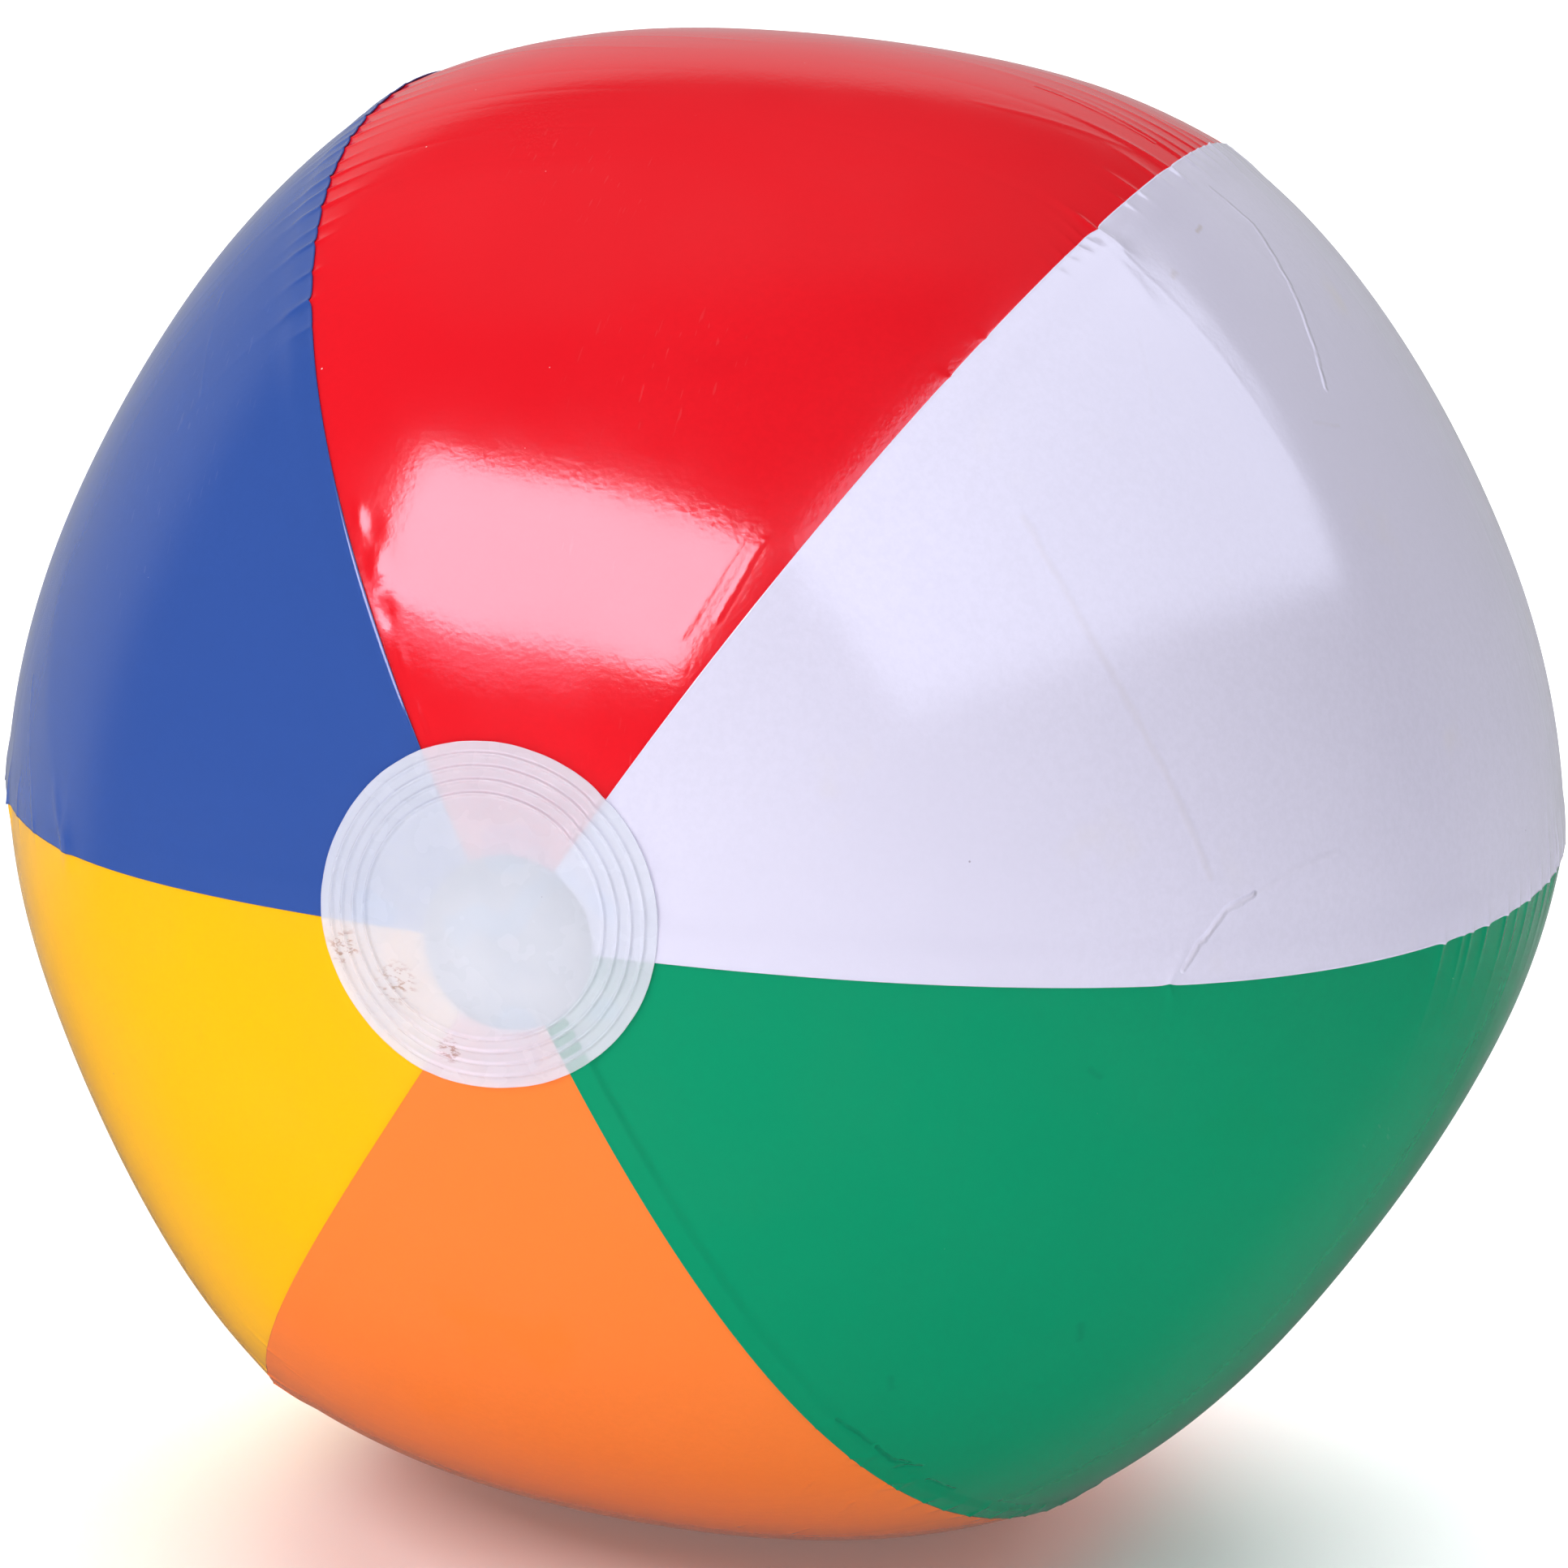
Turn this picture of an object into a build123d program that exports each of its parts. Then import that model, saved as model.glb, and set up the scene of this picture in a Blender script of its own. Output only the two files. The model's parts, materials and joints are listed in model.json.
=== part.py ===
from build123d import *

import os
from math import asin, cos, pi, radians, sin

# Inflatable beach ball: six film gores lap-welded edge to edge, a welded disc over each pole, and an oral valve.
#
# The ball's polar axis lies along Y, with the plain disc at -Y and the valve's disc at +Y. +Z is up, and the
# origin is the ball's centre. A gore is the film panel between two seams that run from pole to pole. Blown up,
# a flat-cut gore stays flatter than a sphere, so the seams stand out as ridges and the ball is slightly
# six-sided. At each seam one gore's edge lies on top, and the other gore carries a weld lap tucked under it. The
# ball rests on the middle of its lowest gore, which flattens against the floor.
#
# The valve's parts are turned about the polar axis. Its stem slides out to be blown into and pushes back in on
# a thin skirt, its plug swings off on a strap, and a flap inside the stem keeps the air in.

# Ball, in millimetres
RADIUS = 150.0  # nominal radius at the seams
FILM = 0.25  # thickness of the vinyl film
GORES = ("red", "white", "green", "orange", "yellow", "blue")  # clockwise from the top, seen from -Y
FIRST_SEAM_DEG = -30.0  # the seam before the red gore, measured from +Z towards +X
SEAM_REACH = (1.002, 0.984, 1.002, 0.993, 1.008, 0.985)  # each seam's radius at the equator, over RADIUS
GORE_REACH = (0.948, 0.966, 0.955, 0.967, 0.965, 0.964)  # each gore's mid-line radius there, over RADIUS
CORNER_ROUND = 0.58  # share of a rounded ridge in the cross-section, the rest being a sharp one
POLE_FADE = 1.5  # how fast the six-sidedness fades away towards the poles
SEAM_BOW_DEG = (-2.4, 0.5, 1.4, 2.3, 2.5, -2.8)  # how far each seam wanders sideways between pole and equator
ON_TOP = ("blue", "white", "white", "green", "orange", "blue")  # the gore whose edge shows at each seam
TIP_RADIUS = 15.0  # the gores' tips are cut off this far from the polar axis
SEAM_GAP = 0.05  # left between two films at a weld
LAP = 4.0  # width of film tucked under the neighbour
LAP_ROOT = 1.0  # how far the lap reaches back into its own gore

# Floor contact
FLOOR_SAG = 0.9  # how much the lowest gore is pressed flat
FLOOR_PLATE = (20.6, 14.9)  # half sizes of the flattened film along X and Y

# Pole discs
DISC_RADIUS = 30.2
DISC_FILM = 0.3
DISC_INSIDE = RADIUS + 0.3  # radius of the disc's inner surface, clear of the seam ridges
FRONT_DISC_SHIFT = (-4.7, 3.8)  # the front disc is welded on this far off the pole, in X and Z

# Valve: radii, and heights above the rear disc's outer surface, outwards
POLE = DISC_INSIDE + DISC_FILM
VALVE_HOLE = 8.3
FLANGE_RADIUS = 13.4
FLANGE_THICK = 0.9
SKIRT_RADIUS = 8.0
SKIRT_FILM = 0.5
SKIRT_FOOT = -6.5
STEM_BORE = 3.3
STEM_OUTER = 4.5
STEM_TOP = 2.6
STEM_BOTTOM = -9.5
FOOT_RADIUS = 5.0
FOOT_THICK = 1.2
LIP_RADIUS = 5.0
LIP_BASE = 1.9
RING_BASE = 0.9
RING_TOP = 1.85
RING_RADIUS = 6.2
RING_GAP = 0.04
PLUG_RADIUS = 3.15
PLUG_TIP_RADIUS = 2.75
PLUG_STRAIGHT = 1.5  # depth of plug below the stem's rim that isn't tapered
PLUG_DEPTH = 4.4
CAP_RADIUS = 5.4
CAP_GAP = 0.05
CAP_THICK = 1.2
TAB_REACH = 8.2
STRAP_WIDTH = 4.0
STRAP_THICK = 0.8
LUG_REACH = 10.2
HINGE_REACH = 10.95  # distance of the strap's hinge from the valve's axis
LEG_THICK = 1.0
FLAP_RADIUS = 4.0
FLAP_THICK = 0.6
FLAP_GAP = 0.05
FLAP_TAIL = 0.7

TIP_DEG = asin(TIP_RADIUS / RADIUS) * 180 / pi
ALONG = 48  # grid steps from pole to pole
ACROSS = 10  # grid steps from seam to seam
FIT = 0.002  # how closely a film surface follows its formula


def seam_turn(seam, polar):
    """Angle of a seam round the axis at a polar angle from -Y, in radians."""
    wander = SEAM_BOW_DEG[seam % len(GORES)] * sin(2 * polar)
    return radians(FIRST_SEAM_DEG + seam * 360 / len(GORES) + wander)


def reach(gore, polar, across):
    """Radius of a gore's outer surface. across runs from -1 at its first seam to 1 at its second."""
    first = SEAM_REACH[gore]
    second = SEAM_REACH[(gore + 1) % len(GORES)]
    middle = GORE_REACH[gore]
    rise = (1 - CORNER_ROUND) * across**2 + CORNER_ROUND * (1 - cos(pi * across)) / 2
    ridge = middle + (second - first) / 2 * across + ((first + second) / 2 - middle) * rise
    return RADIUS * (1 - (1 - ridge) * sin(polar) ** POLE_FADE)


def film_point(gore, polar, across, inset):
    first = seam_turn(gore, polar)
    second = seam_turn(gore + 1, polar)
    turn = first + (second - first) * (across + 1) / 2
    out = reach(gore, polar, across) - inset
    return Vector(out * sin(polar) * sin(turn), -out * cos(polar), out * sin(polar) * cos(turn))


def film_face(gore, inset, low, high):
    """A gore's surface at a depth below its outside, between two places across it."""
    rows = []
    for i in range(ALONG + 1):
        polar = radians(TIP_DEG + (180 - 2 * TIP_DEG) * i / ALONG)
        width = RADIUS * sin(polar) * pi / len(GORES)
        start, end = low(width), high(width)
        rows.append(
            [film_point(gore, polar, start + (end - start) * j / ACROSS, inset) for j in range(ACROSS + 1)]
        )
    return Face.make_surface_from_array_of_points(rows, tol=FIT, min_deg=3, max_deg=5)


def film_solid(gore, inset, low, high):
    """One thickness of film, closed round its edges. low and high give the place across for a half width."""
    outside = film_face(gore, inset, low, high)
    inside = film_face(gore, inset + FILM, low, high)
    walls = []
    for edge in outside.edges():
        partner = inside.edges().sort_by_distance(edge.position_at(0.5))[0]
        walls.append(Face.make_surface_from_curves(edge, partner))
    return Solid(Shell([outside, inside, *walls]))


def gore_solid(gore):
    """A gore's panel with a weld lap at each seam where its neighbour lies on top."""
    shape = film_solid(gore, 0, lambda w: -1 + SEAM_GAP / w, lambda w: 1 - SEAM_GAP / w)
    before = (gore - 1) % len(GORES)
    after = (gore + 1) % len(GORES)
    under = FILM + SEAM_GAP
    if ON_TOP[gore] == GORES[before]:
        shape += film_solid(before, under, lambda w: 1 - LAP / w, lambda w: 1 + LAP_ROOT / w)
    if ON_TOP[after] == GORES[after]:
        shape += film_solid(after, under, lambda w: -1 - LAP_ROOT / w, lambda w: -1 + LAP / w)
    return shape


def flattened(gore_shape, gore):
    """The lowest gore with its middle pressed flat on the floor."""
    floor = -RADIUS * GORE_REACH[gore] + FLOOR_SAG
    below = Pos(0, 0, floor) * Box(RADIUS, RADIUS, RADIUS, align=(Align.CENTER, Align.CENTER, Align.MAX))
    plate = Pos(0, 0, floor) * extrude(Ellipse(*FLOOR_PLATE), FILM)
    return gore_shape - below + plate


def turned(*outline):
    """A solid turned about the polar axis from (radius, y) points."""
    section = make_face(Polyline(*[(r, y, 0) for r, y in outline], close=True))
    return revolve(section, Axis.Y)


def dome(radius, inside, outside, hole=0.0):
    """A spherical cap of film over the +Y pole, between two radii, with an optional hole."""
    shell = Sphere(outside) - Sphere(inside)
    cutter = Pos(0, outside, 0) * Rot(90, 0, 0) * Cylinder(radius, outside)
    cap = shell & cutter
    if hole:
        cap -= Pos(0, outside, 0) * Rot(90, 0, 0) * Cylinder(hole, outside)
    return cap


def front_disc():
    """The plain disc over the -Y pole, tilted round the centre so that it sits off the pole."""
    shift_x, shift_z = FRONT_DISC_SHIFT
    tilt_x = asin(shift_z / RADIUS) * 180 / pi
    tilt_z = asin(shift_x / RADIUS) * 180 / pi
    return Rot(-tilt_x, 0, 0) * Rot(0, 0, tilt_z) * Rot(0, 0, 180) * dome(DISC_RADIUS, DISC_INSIDE, POLE)


def rear_disc():
    return dome(DISC_RADIUS, DISC_INSIDE, POLE, VALVE_HOLE)


def valve_flange():
    """The valve's welding flange, inside the rear disc."""
    outside = DISC_INSIDE - SEAM_GAP
    return dome(FLANGE_RADIUS, outside - FLANGE_THICK, outside, SKIRT_RADIUS)


def valve_skirt():
    """The thin cone that folds over as the stem slides."""
    edge = SKIRT_RADIUS - SEAM_GAP
    foot = FOOT_RADIUS + SEAM_GAP
    top = POLE - DISC_FILM - FLANGE_THICK
    bottom = POLE + SKIRT_FOOT
    return turned((edge, top), (edge, top + SKIRT_FILM), (foot, bottom + SKIRT_FILM), (foot, bottom))


def valve_stem():
    """The tube that is blown into, with a foot for the skirt and a lip that holds the strap's ring."""
    body = turned(
        (STEM_BORE, POLE + STEM_BOTTOM),
        (STEM_OUTER, POLE + STEM_BOTTOM),
        (STEM_OUTER, POLE + SKIRT_FOOT - (FOOT_THICK - SKIRT_FILM) / 2),
        (FOOT_RADIUS, POLE + SKIRT_FOOT - (FOOT_THICK - SKIRT_FILM) / 2),
        (FOOT_RADIUS, POLE + SKIRT_FOOT + (FOOT_THICK + SKIRT_FILM) / 2),
        (STEM_OUTER, POLE + SKIRT_FOOT + (FOOT_THICK + SKIRT_FILM) / 2),
        (STEM_OUTER, POLE + LIP_BASE),
        (LIP_RADIUS, POLE + LIP_BASE),
        (LIP_RADIUS, POLE + STEM_TOP),
        (STEM_BORE, POLE + STEM_TOP),
    )
    rim = body.faces().sort_by(Axis.Y)[-1].edges()
    return chamfer(rim, 0.25)


def strap_ring():
    """The ring round the stem's neck, with the lug that the strap bends from."""
    low, high = POLE + RING_BASE, POLE + RING_TOP
    inner = STEM_OUTER + RING_GAP
    ring = turned((inner, low), (RING_RADIUS, low), (RING_RADIUS, high), (inner, high))
    start = (RING_RADIUS + inner) / 2
    lug = Pos((start + LUG_REACH) / 2, (low + high) / 2, 0) * Box(LUG_REACH - start, high - low, STRAP_WIDTH)
    return ring + lug


def stopper_plug():
    """The plug: a tapered stopper in the stem's bore under a round cap with a finger tab."""
    rim = POLE + STEM_TOP
    cap_low = rim + CAP_GAP
    cap = turned(
        (0, rim - PLUG_DEPTH),
        (PLUG_TIP_RADIUS, rim - PLUG_DEPTH),
        (PLUG_RADIUS, rim - PLUG_STRAIGHT),
        (PLUG_RADIUS, cap_low),
        (CAP_RADIUS, cap_low),
        (CAP_RADIUS, cap_low + CAP_THICK),
        (0, cap_low + CAP_THICK),
    )
    cap = fillet(cap.faces().sort_by(Axis.Y)[-1].edges(), 0.4)
    reach_in = CAP_RADIUS - 1
    tab = Pos(-(reach_in + TAB_REACH) / 2, cap_low + STRAP_THICK / 2, 0) * Box(
        TAB_REACH - reach_in, STRAP_THICK, STRAP_WIDTH
    )
    return cap + fillet(tab.edges().filter_by(Axis.Y).sort_by(Axis.X)[:2], 1.5)


def plug_strap():
    """The strap from the plug's cap out to the hinge, where it turns down beside the lug."""
    low = POLE + STEM_TOP + CAP_GAP + 0.15
    high = low + STRAP_THICK
    inner = CAP_RADIUS + SEAM_GAP
    outer = HINGE_REACH + LEG_THICK / 2
    arm = Pos((inner + outer) / 2, (low + high) / 2, 0) * Box(outer - inner, STRAP_THICK, STRAP_WIDTH)
    leg_low = POLE + RING_BASE
    leg = Pos(HINGE_REACH, (leg_low + high) / 2, 0) * Box(LEG_THICK, high - leg_low, STRAP_WIDTH)
    hub = Pos(0, (low + high) / 2, 0) * Rot(90, 0, 0) * Cylinder(inner, STRAP_THICK * 2)
    corner = (arm + leg).edges().filter_by(Axis.Z).group_by(Axis.X)[-1].sort_by(Axis.Y)[-1:]
    return fillet(corner, 0.3) - hub


def check_flap():
    """The flap that closes the stem's inner end, with the tail that it hinges by."""
    high = POLE + STEM_BOTTOM - FLAP_GAP
    disc = Pos(0, high - FLAP_THICK / 2, 0) * Rot(90, 0, 0) * Cylinder(FLAP_RADIUS, FLAP_THICK)
    tail = Pos(FLAP_RADIUS, high - FLAP_THICK / 2, 0) * Box(2 * FLAP_TAIL, FLAP_THICK, STRAP_WIDTH)
    return disc + tail


def main():
    os.makedirs("parts", exist_ok=True)
    lowest = GORES.index("orange")
    for gore, colour in enumerate(GORES):
        shape = gore_solid(gore)
        if gore == lowest:
            shape = flattened(shape, gore)
        export_step(shape, f"parts/gore_{colour}.step")
    for make in (
        front_disc,
        rear_disc,
        valve_flange,
        valve_skirt,
        valve_stem,
        strap_ring,
        stopper_plug,
        plug_strap,
        check_flap,
    ):
        export_step(make(), f"parts/{make.__name__}.step")


main()
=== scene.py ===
"""Inflatable beach ball: the looks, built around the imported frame.

Six glossy vinyl gores with real film thickness, weld laps, puckers and pinched creases, a milky disc with
embossed weld rings over each pole, and a push-in air valve in the rear disc. Units are metres.

A place on a gore is given by its polar angle from the front pole, at -Y, and by how far across the gore it
lies, from -1 at the gore's first seam to 1 at its second. Seam k is the first seam of gore k.
"""

import json
from math import asin, cos, degrees, pi, radians, sin, sqrt, tan

import bmesh
import bpy
import numpy as np
from mathutils import Matrix, Vector


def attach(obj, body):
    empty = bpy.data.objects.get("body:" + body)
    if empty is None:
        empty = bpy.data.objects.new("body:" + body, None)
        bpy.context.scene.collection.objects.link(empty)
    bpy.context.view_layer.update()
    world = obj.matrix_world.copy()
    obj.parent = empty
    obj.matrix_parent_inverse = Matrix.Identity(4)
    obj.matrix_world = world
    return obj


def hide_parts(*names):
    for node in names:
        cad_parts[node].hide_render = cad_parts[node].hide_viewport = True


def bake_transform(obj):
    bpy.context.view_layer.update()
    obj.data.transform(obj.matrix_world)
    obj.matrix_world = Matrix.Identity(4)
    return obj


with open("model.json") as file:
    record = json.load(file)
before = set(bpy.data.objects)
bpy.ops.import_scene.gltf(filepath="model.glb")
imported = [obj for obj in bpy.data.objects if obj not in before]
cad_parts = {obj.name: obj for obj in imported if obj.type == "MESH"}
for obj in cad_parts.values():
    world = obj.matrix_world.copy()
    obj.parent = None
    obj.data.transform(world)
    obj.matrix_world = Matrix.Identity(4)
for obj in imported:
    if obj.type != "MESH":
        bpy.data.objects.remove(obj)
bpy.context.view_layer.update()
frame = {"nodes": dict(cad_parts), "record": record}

MM = 0.001

# The ball's form, as in the CAD model
RADIUS = 0.150
FILM = 0.25 * MM
GORES = ("red", "white", "green", "orange", "yellow", "blue")
SEAMS = len(GORES)
FIRST_SEAM_DEG = -30.0
SEAM_REACH = (1.002, 0.984, 1.002, 0.993, 1.008, 0.985)
GORE_REACH = (0.948, 0.966, 0.955, 0.967, 0.965, 0.964)
CORNER_ROUND = 0.58
POLE_FADE = 1.5
SEAM_BOW_DEG = (-2.4, 0.5, 1.4, 2.3, 2.5, -2.8)
ON_TOP = ("blue", "white", "white", "green", "orange", "blue")
TIP_DEG = degrees(asin(0.1))
LAP = 4.0 * MM
LAP_LIFT = 0.30 * MM  # a film that lies over another's lap is raised by this
LAP_SLOPE = 5.0 * MM  # width over which it comes down again
LAP_START = 0.6 * MM  # a tucked lap is drawn from this far beyond its seam
EDGE_BEAD = 0.07 * MM  # the cut edge of a film is melted up a little by the welding
EDGE_BEAD_WIDTH = 0.45 * MM
FLOOR = frame["record"]["mounts"][0]["pos_m"][2]

# One seam's lap shows as a raised band, with an uneven groove behind it
LOOSE_SEAM = 3
LOOSE_LIFT = 0.42 * MM
LOOSE_SLOPE = 0.6 * MM
GROOVE_OFF, GROOVE_WIDTH = 5.2, 0.38  # distance from the seam and half width, mm
GROOVE_DEPTH = 0.16 * MM
GROOVE_LEAST = 0.6  # share of its depth that its swell comes on top of
GROOVE_WANDER = ((0.5, 21, 0), (0.3, 53, 1))  # waves along the seam: size, waves per radian, start
GROOVE_SWELL = ((0.4, 83, 2),)

# The blue film's edge stands up a little beside the front disc
ROLLED_GORE = "blue"
ROLL_HEIGHT = 0.26 * MM
ROLL_OFF, ROLL_WIDTH = 0.55, 0.38  # distance from the edge and half width, mm
ROLL_START_DEG, ROLL_END_DEG = 15.5, 33
ROLL_START_FADE_DEG, ROLL_END_FADE_DEG = 0.5, 1.5

# Discs over the poles
DISC_RADIUS = 30.2 * MM
DISC_OVAL = 0.5 * MM  # the front disc is this much longer sideways and shorter upwards
DISC_FILM = 0.3 * MM
DISC_LIFT = 0.35 * MM
FRONT_DISC_SHIFT = (-4.7 * MM, 3.8 * MM)
WELD_RINGS = (0.705, 0.78, 0.855, 0.928)  # radii of the embossed ridges, over the disc's own
RING_HEIGHT = 0.40 * MM
RING_WIDTH = 0.32 * MM
VALVE_HOLE = 8.3 * MM
CROWN = 0.4 * MM  # rise of a disc's middle, inside its rings
CROWN_SHARE = 0.68  # radius where it begins, over the disc's own
REAR_CROWN_SHARE = 0.3  # the disc round the valve rises by this share of it
EDGE_RAG = 0.13 * MM  # unevenness of a disc's cut edge
EDGE_RAG_WAVES = (3, 5, 9, 14, 23, 37, 61)

# Rise of a disc over each seam that it is welded on: height, half width and offset in mm, and where the weld
# begins, over the disc's radius
PLAIN_FOLD = (0.08, 0.6, 0.0, 0.6)
FRONT_FOLDS = {1: (0.8, 1.3, -0.6, 0.62), 0: (0.32, 0.7, 0.0, 0.68)}
REAR_FOLDS = {2: (0.3, 0.9, 0.3, 0.72)}
FOLD_FADE = 0.04

# The valve's skirt, as in the CAD model: (radius, y) outline in mm, from the flange to the stem
SKIRT_OUTLINE = ((7.95, 149.4), (7.95, 149.9), (5.05, 144.6), (5.05, 144.1))
SKIRT_STEPS = 14
SKIRT_SWAY = 0.12  # bow of its sides, mm

# Film mesh
ROWS_FINE = 700  # steps along the stretch where the film puckers
ROWS_CALM = 44  # steps along each stretch towards a pole
COLUMNS = 70
LAP_COLUMNS = 6
EDGE_CROWDING = 0.87  # 0 spaces the columns evenly, and 1 as the sine does
FINE_DEG = (42.0, 138.0)

# Disc mesh
DISC_COLUMNS = 288
DISC_ROWS_CALM = 18
DISC_ROWS_RINGS = 96
DISC_RINGS_FROM = 0.62  # radius where the close rows begin, over the disc's own

# Form of the puckers, creases and waves
CREST_ROUND = 0.35  # roundness of a crest's top, over its half width
CREST_SPREAD = 0.8  # how much wider a crest is at its stated length
CREST_FADE = 1.6
SHIFT_SPREAD = 1.5  # a shifted seam comes back over this many half widths
CREASE_ENDS = 0.25  # share of a crease's height that its ends keep
CREASE_FADE = 1.4
RIPPLE = 0.028 * MM


# ---------------------------------------------------------------- film surface


def pinch(polar, height, width, reach, lean=0.0, shift=0.0):
    """A crest across a seam: its polar angle in degrees, height, half width and length on each side, in mm.

    lean tilts the crest along the seam per mm away from it, and shift moves the seam sideways there.
    """
    return {"polar": polar, "height": height, "width": width, "reach": reach, "lean": lean, "shift": shift}


# Crests that gather the seams. The first length is on the side of the gore before the seam.
PINCHES = {
    0: [
        pinch(91.0, 0.0, 5.5, (1, 1), 0.0, -1.7),
        pinch(82.4, 0.19, 0.5, (10, 18), 0.15),
        pinch(79.5, 0.21, 0.55, (9, 20), 0.2),
        pinch(76.8, 0.21, 0.5, (12, 12), 0.1),
        pinch(74.4, 0.32, 0.6, (12, 16), 0.2, -0.3),
        pinch(72.2, 0.19, 0.5, (14, 8), 0.1),
        pinch(70.4, 0.31, 0.55, (13, 10), 0.15, -0.3),
        pinch(68.6, 0.24, 0.5, (15, 9), 0.1, -0.2),
        pinch(66.2, 0.2, 0.5, (9, 8), 0.2),
        pinch(64.2, 0.34, 0.5, (12, 9), 0.15, -0.4),
        pinch(62.4, 0.26, 0.45, (14, 8), 0.1, -0.1),
        pinch(60.2, 0.34, 0.5, (11, 8), 0.15, -0.3),
        pinch(57.6, 0.22, 0.5, (9, 6), 0.1, -0.1),
        pinch(55.9, 0.29, 0.5, (12, 5), 0.1, -0.3),
        pinch(52.6, 0.22, 0.5, (10, 4), 0.1, -0.2),
        pinch(49.7, 0.34, 0.6, (9, 3), 0.1, -0.5),
        pinch(47.0, 0.14, 0.6, (8, 3), 0.1),
    ],
    1: [
        pinch(89.9, 0.25, 0.5, (30, 4), 0.2),
        pinch(88.0, 0.3, 0.5, (26, 5), 0.1),
        pinch(85.8, 0.25, 0.5, (18, 4), 0.15),
        pinch(84.0, 0.34, 0.55, (32, 5), 0.2, 0.1),
        pinch(80.5, 0.5, 0.6, (14, 4), 0.1, 0.4),
        pinch(78.0, 0.22, 0.5, (7, 3), 0.2),
        pinch(74.3, 0.26, 0.5, (7, 3), 0.1, 0.1),
        pinch(72.0, 0.18, 0.5, (5, 3), 0.1, 0.1),
        pinch(66.9, 0.7, 0.6, (6, 5), 0.25, 0.7),
        pinch(65.4, 0.18, 0.45, (8, 3), 0.3),
        pinch(64.2, 0.2, 0.5, (5, 3), 0.3, 0.1),
        pinch(62.6, 0.14, 0.5, (4, 3), 0.3),
        pinch(61.0, 0.15, 0.6, (3, 6), 0.2),
        pinch(52.2, 0.15, 0.45, (2, 2), 0.0, 0.2),
        pinch(48.0, 0.15, 0.45, (2, 2), 0.0, 0.2),
    ],
    2: [
        pinch(43.7, 0.4, 0.45, (6, 2.5), 0.5, -0.4),
        pinch(69.0, 0.34, 0.55, (3, 7), 0.0, 0.4),
        pinch(71.6, 0.22, 0.5, (3, 8), 0.0, 0.1),
        pinch(72.8, 0.26, 0.5, (3, 8), 0.0, 0.2),
        pinch(75.1, 0.34, 0.6, (4, 7), 0.0, 0.3),
        pinch(78.4, 0.3, 0.5, (4, 8), 0.0, 0.3),
        pinch(80.6, 0.24, 0.5, (5, 7)),
        pinch(82.8, 0.3, 0.55, (8, 10), 0.0, 0.3),
        pinch(85.6, 0.28, 0.5, (6, 9)),
        pinch(88.0, 0.34, 0.55, (9, 9), 0.1, 0.2),
        pinch(90.6, 0.28, 0.5, (8, 10)),
    ],
    3: [
        pinch(42.8, 0.14, 0.5, (4, 2), 0.3),
        pinch(47.6, 0.3, 0.4, (5, 2), 0.8),
        pinch(49.0, 0.22, 0.4, (6, 2), -0.5),
        pinch(52.8, 0.4, 0.4, (6, 4), 0.9, -0.3),
        pinch(54.2, 0.26, 0.4, (5, 3), -0.4),
        pinch(58.0, 0.3, 0.45, (4, 5), 0.5, -0.1),
        pinch(61.0, 0.22, 0.5, (5, 4), 0.3),
        pinch(64.7, 0.42, 0.5, (4, 4), 0.0, -0.4),
        pinch(68.2, 0.14, 0.5, (7, 5)),
        pinch(71.4, 0.2, 0.55, (9, 7)),
        pinch(74.0, 0.17, 0.5, (8, 9)),
        pinch(77.6, 0.23, 0.6, (10, 9), 0.1, -0.2),
        pinch(80.4, 0.17, 0.5, (11, 8)),
        pinch(84.4, 0.24, 0.6, (12, 10), 0.0, -0.2),
        pinch(87.0, 0.18, 0.5, (9, 11)),
        pinch(90.2, 0.22, 0.55, (10, 10)),
    ],
    4: [
        pinch(41.5, 0.08, 0.7, (5, 5), 0.2),
        pinch(48.9, 0.12, 0.7, (7, 7), 0.2),
        pinch(57.0, 0.22, 0.6, (8, 8)),
        pinch(61.4, 0.21, 0.5, (10, 8)),
        pinch(64.0, 0.18, 0.5, (7, 9)),
        pinch(68.2, 0.27, 0.6, (11, 10), 0.1, 0.2),
        pinch(71.0, 0.2, 0.5, (9, 8)),
        pinch(75.2, 0.27, 0.6, (12, 11)),
        pinch(78.2, 0.21, 0.5, (9, 10), -0.1, 0.2),
        pinch(82.0, 0.29, 0.6, (11, 10)),
        pinch(84.6, 0.21, 0.5, (10, 8)),
        pinch(88.6, 0.27, 0.6, (11, 12)),
    ],
    5: [
        pinch(41.6, 0.6, 1.0, (5, 9), 0.1, -0.3),
        pinch(48.4, 0.18, 0.6, (3, 8), 0.2),
        pinch(53.8, 0.2, 0.6, (5, 9), 0.1),
        pinch(58.4, 0.6, 0.9, (7, 10), 0.1, -0.6),
        pinch(64.6, 0.21, 0.5, (9, 9)),
        pinch(67.4, 0.26, 0.6, (10, 11), 0.0, -0.2),
        pinch(71.6, 0.2, 0.5, (8, 9)),
        pinch(75.0, 0.29, 0.6, (11, 10)),
        pinch(78.0, 0.21, 0.5, (9, 8), 0.1, -0.2),
        pinch(82.4, 0.27, 0.6, (10, 12)),
        pinch(85.4, 0.21, 0.5, (10, 8)),
        pinch(89.0, 0.26, 0.6, (9, 11)),
    ],
}

REACH_SHARE = (0.66, 1.0, 1.0, 0.66, 0.66, 0.66)  # by seam: length of its crests over that listed

REAR_PINCHES_DEG = (92.0, 132.0)
REAR_PITCH_DEG = (2.3, 4.4)

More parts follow.
